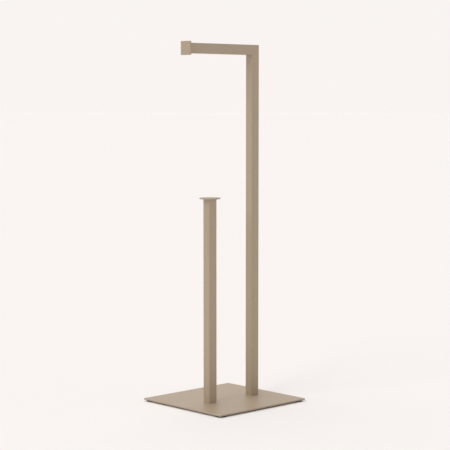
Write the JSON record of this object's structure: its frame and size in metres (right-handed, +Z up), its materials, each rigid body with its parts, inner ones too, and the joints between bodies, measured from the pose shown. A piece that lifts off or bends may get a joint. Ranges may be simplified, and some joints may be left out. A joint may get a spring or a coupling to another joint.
{
  "type": "toilet paper stand",
  "caption": "Free-standing toilet paper stand: a nearly square base plate carries a tall post with a level roll arm and a shorter post with a disc on top for spare rolls.",
  "frame": {"origin": "on the floor, under the middle of the base plate", "axes": "+Z up, X along the arm, which points to -X from the tall post, and +Y to the back of the plate"},
  "size_m": [0.206, 0.197, 0.628],
  "materials": {
    "powder_coat": "warm taupe powder coat, fine-textured satin",
    "plug_steel": "bare machined steel",
    "zinc_screw": "bright zinc-plated steel",
    "foot_rubber": "matt black rubber",
    "adhesive_tape": "white double-sided adhesive film"
  },
  "bodies": {
    "root": {"base_plate": "powder_coat", "tall_post": "powder_coat", "roll_arm": "powder_coat", "arm_end_plate": "powder_coat", "spare_post": "powder_coat", "spare_post_cap": "powder_coat", "tall_post_plug": "plug_steel", "spare_post_plug": "plug_steel", "tall_post_screw": "zinc_screw", "spare_post_screw": "zinc_screw", "foot_front_left": "foot_rubber", "foot_front_right": "foot_rubber", "foot_back_left": "foot_rubber", "foot_back_right": "foot_rubber", "foot_tapes": "adhesive_tape"}
  },
  "joints": []
}
